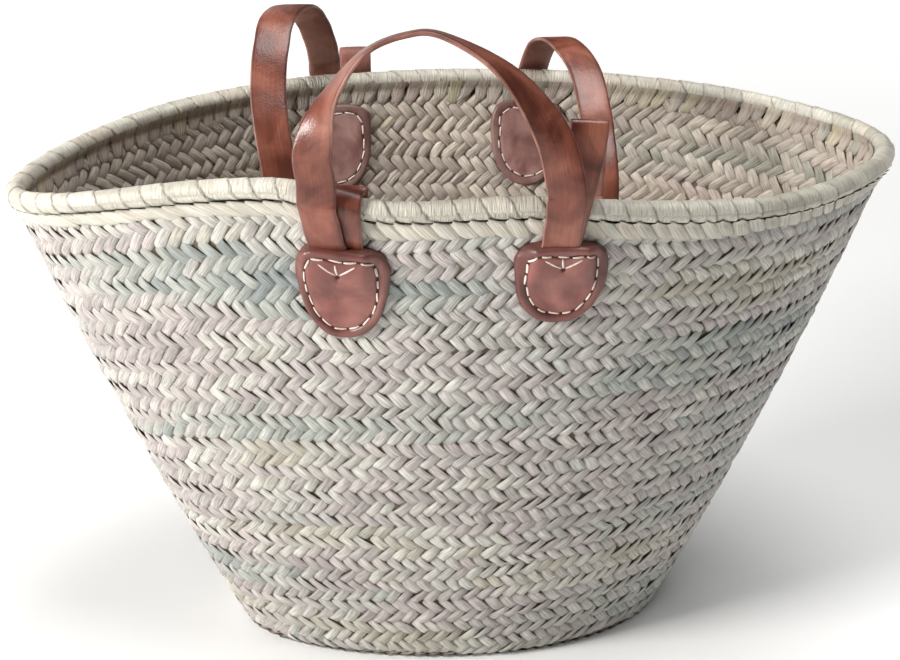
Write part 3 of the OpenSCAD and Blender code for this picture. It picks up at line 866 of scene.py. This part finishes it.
# each end's x under its patch and at the rim
END_X = (((-92, -98), (32, 33)), ((-85, -86), (33, 36)), ((-68, -53), (62, 50)), ((-79, -76), (73, 74)))
RUN_T = (0.906, 0.93, 0.953, 0.975, 1.0)  # the sewn ends' way up the wall, as t
INNER_RUN = (4.3, 4.3, 6.2, 6.7, 8.3)  # and the lower layer's distance from the wall's middle there
# a handle's fold line: along the rim, outwards from the rope's middle, and up from it
HINGE_SHIFT = ((0, 0), (0, 11), (0, 0), (0, 0))
HINGE_GAP = (12.9, -11.0, 12.9, 8.8)
HINGE_RISE = ((10, 12), (-1, -2), (15, 15), (13, 13))
BEND = 5.0  # half the length of strap that bends at the fold line
PER_SPAN = 10  # cross sections from one point of a route to the next


def wall_point(x, side, t, gap):
    return off_wall(angle_at(x, side, t), t, gap)


def wall_way(x, side, t):
    """The way along the wall to the right."""
    u = angle_at(x, side, t)
    return unit(wall(u - side, t) - wall(u + side, t))


def hinge(h, e):
    """One end of a handle's fold line."""
    x = END_X[h][e][1] + HINGE_SHIFT[h][e]
    return wall_point(x, END_SIDE[h], 1, HINGE_GAP[h]) + Z * HINGE_RISE[h][e]


def chord(h):
    return unit(hinge(h, 1) - hinge(h, 0))


def flat_way(angle):
    """A level way, in degrees from x towards y."""
    return np.array([math.cos(math.radians(angle)), math.sin(math.radians(angle)), 0])


def fixed_route(h, e):
    """From under the patch up to the hinge, as pairs of a point and the way of the strap's width."""
    route = []
    for k, t in enumerate(RUN_T):
        f = k / (len(RUN_T) - 1)
        x = END_X[h][e][0] * (1 - f) + END_X[h][e][1] * f
        p = wall_point(x, END_SIDE[h], t, INNER_RUN[k] + END_LAYER[h] * LAYER)
        route.append((p, wall_way(x, END_SIDE[h], t)))
    p, x = hinge(h, e), END_X[h][e][1]
    way = wall_way(x, END_SIDE[h], 1)
    out = unit(np.array([way[1], -way[0], 0]))
    if h != 1:
        return route + [(p - Z * BEND, chord(h))]
    # over the rope: along the rim, inwards and up. The right end stands up in a narrow fold first
    if e == 0:
        over = [(0, *(9 * flat_way(a)[:2])) for a in (130, 90, 50)]
    else:
        over = ((3, -7.4, 13), (7.5, -4.4, 34), (9.5, -1.9, 46), (9.8, 0.1, 49.4), (10, 2.1, 46),
            (10.5, 6.6, 30), (11, 10, 12))
    for q in over:
        route.append((wall_point(x, -1, 1, 0) + way * q[0] - out * q[1] + Z * q[2], way))
    return route + [(p + Z * BEND, chord(h))]


def turned(route, h, angle):
    """The route turned about the handle's hinge line, in degrees."""
    axis, a, origin = chord(h), math.radians(angle), hinge(h, 0)

    def turn(v):
        return v * math.cos(a) + np.cross(axis, v) * math.sin(a) + axis * np.dot(axis, v) * (1 - math.cos(a))
    return [(origin + turn(p - origin), turn(w)) for p, w in route]


def arch_route(h, arch, turns, sign_x, sign_y, down=False):
    """A loop over the fold line, or down under it. arch gives places along the line, the height and the lean
    towards the back, and turns the way of the strap's width."""
    route = []
    for (f, rise, lean), a in zip(arch, turns):
        p = hinge(h, 0) * (1 - f) + hinge(h, 1) * f + np.array([0, lean, -rise if down else rise])
        route.append((p, flat_way(a) * (sign_x, sign_y, 0)))
    return route


def loop_route(h):
    """A handle's loop as it lies at rest, from its left fold to its right one."""
    if h == 0:
        arch = ((-0.01, 24, 0), (0.06, 52, 1), (0.195, 76, 4), (0.36, 86, 7), (0.51, 86, 7), (0.75, 68, 4),
            (0.93, 36, 1))
        upright = arch_route(0, arch, (20, 70, 92, 98, 104, 130, 163), 1, -1)
        route = [(p, w + Z * 0.18 * abs(w[1])) for p, w in upright]
        return [(hinge(0, 0) + Z * BEND, chord(0))] + route + [(hinge(0, 1) + Z * BEND, -chord(0))]
    if h == 1:
        hang = ((0.02, 45, 12.5), (0.07, 92, 29), (0.15, 128, 40), (0.32, 157, 46), (0.5, 165, 47),
            (0.68, 157, 46), (0.85, 128, 40), (0.93, 92, 29), (0.98, 45, 12.5))
        route = arch_route(1, hang, (4, 40, 75, 88, 90, 92, 105, 140, 176), 1, 1, down=True)
        return [(hinge(1, 0) - Z * BEND, chord(1))] + route + [(hinge(1, 1) - Z * BEND, -chord(1))]
    if h == 2:
        arch = [(f, rise, 0) for f, rise in ((0, 40), (0.06, 75), (0.2, 105), (0.5, 120), (0.8, 105),
            (0.94, 75), (1, 40))]
        upright = arch_route(2, arch, (15, 45, 75, 90, 105, 135, 165), -1, -1)
        return turned(upright, 2, -140)
    # x, y and z from the left fold, and the turn of the strap's width there
    over = ((-3, -26, 18, 0), (-12, -60, 46, 0), (-23, -90, 62, 0), (-36, -120, 62, 0), (-42, -142, 48, 0),
        (-45, -158, 27, 0), (-44, -173, 6, 0), (-40, -183, -22, 5), (-38, -184, -60, 30),
        (-34, -175, -105, 60), (-18, -165, -152, 82), (30, -160, -171, 90), (66, -159, -174, 90),
        (104, -160, -171, 90),
        (149, -165, -146, 98), (163, -174, -104, 120), (164, -180, -66, 150), (165, -172, -36, 175),
        (166, -152, -14, 180), (168.5, -126, 0, 180), (166.5, -98, 20, 180), (158, -66, 30, 180),
        (154, -28, 20, 180))
    return [(hinge(3, 0) + (x, y, z), flat_way(180 - a)) for x, y, z, a in over]


def ribbon_section():
    """The strap's cut end, flat faced with rounded, slightly pressed edges. Also each side's material."""
    half, thick = STRAP_W / 2, STRAP_T / 2
    xs = np.array([-10.3, -9.2, -7, -4, 0, 4, 7, 9.2, 10.3])
    dome = thick - 0.32 * smooth(np.abs(xs), 8.0, 10.8) + 0.06 * np.cos(xs / 4)
    top = list(zip(xs, dome))
    bottom = list(zip(xs[::-1], -dome[::-1]))
    right = [(half - 0.2, thick * 0.5), (half, 0), (half - 0.2, -thick * 0.5)]
    left = [(-x, -y) for x, y in right]
    ring = np.array(top + right + bottom + left)
    kinds = [0] * 8 + [2] * 4 + [1] * 8 + [2] * 4
    return ring, np.array(kinds)


def build_strap(h):
    flip = -1 if END_SIDE[h] > 0 else 1
    left = [(p, flip * w) for p, w in fixed_route(h, 0)]
    right = [(p, -flip * w) for p, w in fixed_route(h, 1)][::-1]
    loop = loop_route(h)
    if h == 2:
        # both ends fold over behind the rope, and the right one lies lower
        humps = (((-1.8, 1.5), (0.4, 5.2), (4.6, 6.4), (9.0, 4.4), (13.6, -0.8), (18.5, -9.5)),
            ((-1.2, -17.5), (1.0, -14.2), (4.4, -13.0), (8.4, -14.2), (13.0, -18.0), (18.0, -23.0)))
        near, far = ([(hinge(2, e) + (0, y, z), (1, -1)[e] * flip * chord(2)) for y, z in humps[e]]
            for e in (0, 1))
        loop = near + loop + far[::-1]
        left[-1] = (left[-1][0] + (0, -1.8, 0), left[-1][1])
        right = right[2:]
        right[0] = (hinge(2, 1) + (0, -1.5, -23.5), right[0][1])
    route = left + loop + right
    p = np.array([q[0] for q in route])
    w = np.array([q[1] for q in route])
    p = np.concatenate([[2 * p[0] - p[1]], p, [2 * p[-1] - p[-2]]])
    w = np.concatenate([w[:1], w, w[-1:]])
    last = len(route) - 1
    s = np.linspace(0, last, last * PER_SPAN + 1)
    i = np.minimum(s.astype(int), last - 1)
    f = (s - i)[:, None]

    def spline(v):
        a, b, c, d = v[i], v[i + 1], v[i + 2], v[i + 3]
        bend, twist = 2 * a - 5 * b + 4 * c - d, 3 * b - a - 3 * c + d
        return 0.5 * (2 * b + (c - a) * f + bend * f ** 2 + twist * f ** 3)

    middle, hint = spline(p), spline(w)
    along = unit(np.gradient(middle, axis=0))
    across = unit(hint - along * np.sum(hint * along, -1, keepdims=True))
    grain = np.cross(across, along)
    walk = walked(middle)[:, None]
    ring, kinds = ribbon_section()
    ring_x, ring_y = ring.T
    # the strap cups, and its edges waver a little
    cup = 0.56 * soft_noise(walk / 120, walk * 0, 80 + h) * (1 - (ring_x / 11) ** 2)
    waver = 0.18 * soft_noise(walk / 26, walk * 0, 90 + h) * (np.abs(ring_x) > 9)
    x = ring_x * (1 + 0.004 * soft_noise(walk / 45, walk * 0, 95 + h)) + waver
    points = middle[:, None] + across[:, None] * x[..., None] + grain[:, None] * (ring_y + cup)[..., None]
    dark = np.where(ring_y > 1.0, 0.5, 0.12) * smooth(np.abs(ring_x), 8.6, 10.3) * (np.abs(ring_y) > 1.0)
    stain = 0.2 * smooth(soft_noise(ring_x / 30 + walk / 70, walk / 60 + 0 * x, 33 + h), 0.1, 0.8)
    tone = 1 + 0.16 * soft_noise(walk / 80 + 0 * x, ring_x / 60 + 0 * x, 20 + h, 2)
    tint = np.stack([(dark + stain).clip(0, 0.9), tone, 0 * x, 1 + 0 * x], -1)
    uv = np.stack([ring_x + 0 * x, walk + 0 * x], -1)
    first, second = (len(left) - 1) * PER_SPAN, (last - len(right) + 1) * PER_SPAN
    handle = HANDLES[h]
    parts = ((f"{handle}_strap_left", 0, first, f"{handle}_end_left"),
        (f"{handle}_strap_right", second, last * PER_SPAN, f"{handle}_end_right"),
        (f"{handle}_strap", first, second, f"{handle}_loop"))
    for name, a, b, node in parts:
        quads = grid_quads(b - a + 1, len(ring), wrap_cols=True)
        material = np.tile(kinds, b - a)
        piece = make_mesh(name, points[a:b + 1], quads, (strap_grain, strap_flesh, strap_edge), material,
            uv[a:b + 1], tint[a:b + 1])
        finish_piece(piece, (node,), body=None if node.endswith("loop") else "basket")
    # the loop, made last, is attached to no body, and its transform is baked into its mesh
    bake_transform(piece)


for h in range(len(HANDLES)):
    build_strap(h)


# ---- floor, light and camera
GROUND_HALF, GROUND_Z = 20000.0, -0.4  # half the floor's width, and its height
# name, place and width in metres, power, colour
LIGHTS = (("key", (-2.2, -0.75, 1.15), 0.8, 84, (1.0, 0.985, 0.97)),
    ("top", (0.35, -0.2, 2.4), 1.2, 41, (1.0, 1.0, 1.0)),
    ("behind", (-0.8, 2.0, 1.1), 1.6, 8, (1.0, 0.99, 0.97)))
LIGHT_AIM = (0, 0, 0.18)
AZIMUTH, ELEVATION, ROLL = (math.radians(v) for v in (8.706, 24.487, 0.966))
CAMERA_AIM, CAMERA_AWAY = np.array([-5.902, 0, 213.694]), 1030.839
CAMERA_LENS, CAMERA_SENSOR = 61.12, 36


def build_floor():
    """A pale floor that glows a little, more so far from the part, as a lit white sweep does."""
    paint = Paint("floor_pale")
    away = paint.add("VectorMath")
    away.operation = "LENGTH"
    paint.links.new(paint.place(), away.inputs[0])
    glow = paint.remap(away.outputs["Value"], 0.45, 2.6, 0.08, 0.8, "SMOOTHSTEP")
    paint.feed(paint.shader, Base_Color=(0.9, 0.9, 0.89, 1), Roughness=0.9, Specular_IOR_Level=0.1,
        Emission_Color=(1, 1, 1, 1), Emission_Strength=glow)
    corners = ((-1, -1), (1, -1), (1, 1), (-1, 1))
    points = [(x * GROUND_HALF, y * GROUND_HALF, GROUND_Z) for x, y in corners]
    make_mesh("floor", points, ((0, 1, 2, 3),), (paint.material,), flat=True)


def build_studio():
    """The pale studio behind the floor's edge, which hardly lights the part, and three soft lights."""
    world = bpy.data.worlds.new("studio")
    world.use_nodes = True
    nodes, links = world.node_tree.nodes, world.node_tree.links
    back = nodes["Background"]
    back.inputs["Color"].default_value = (0.98, 0.985, 1.0, 1)
    back.inputs["Strength"].default_value = 0.02
    seen = nodes.new("ShaderNodeBackground")
    rays = nodes.new("ShaderNodeLightPath")
    either = nodes.new("ShaderNodeMixShader")
    links.new(rays.outputs["Is Camera Ray"], either.inputs[0])
    links.new(back.outputs[0], either.inputs[1])
    links.new(seen.outputs[0], either.inputs[2])
    links.new(either.outputs[0], nodes["World Output"].inputs["Surface"])
    bpy.context.scene.world = world
    bpy.context.scene.view_settings.view_transform = "Standard"
    for name, place, width, power, colour in LIGHTS:
        data = bpy.data.lights.new(name, "AREA")
        data.size, data.energy, data.color = width, power, colour
        lamp = bpy.data.objects.new(name, data)
        lamp.location = place
        lamp.rotation_mode = "QUATERNION"
        lamp.rotation_quaternion = (Vector(LIGHT_AIM) - Vector(place)).to_track_quat("-Z", "Y")
        bpy.context.scene.collection.objects.link(lamp)


def build_camera():
    level = np.array([math.sin(AZIMUTH), math.cos(AZIMUTH), 0])
    forward = level * math.cos(ELEVATION) - Z * math.sin(ELEVATION)
    right = np.array([math.cos(AZIMUTH), -math.sin(AZIMUTH), 0])
    up = np.cross(right, forward)
    right, up = right * math.cos(ROLL) + up * math.sin(ROLL), up * math.cos(ROLL) - right * math.sin(ROLL)
    place = CAMERA_AIM - forward * CAMERA_AWAY
    data = bpy.data.cameras.new("camera")
    data.lens, data.sensor_width = CAMERA_LENS, CAMERA_SENSOR
    data.clip_start, data.clip_end = 0.05, 50
    camera = bpy.data.objects.new("camera", data)
    turn = Matrix(np.column_stack([right, up, -forward]).tolist())
    camera.matrix_world = Matrix.Translation(Vector(place * MM)) @ turn.to_4x4()
    bpy.context.scene.collection.objects.link(camera)
    bpy.context.scene.camera = camera


build_floor()
build_studio()
build_camera()
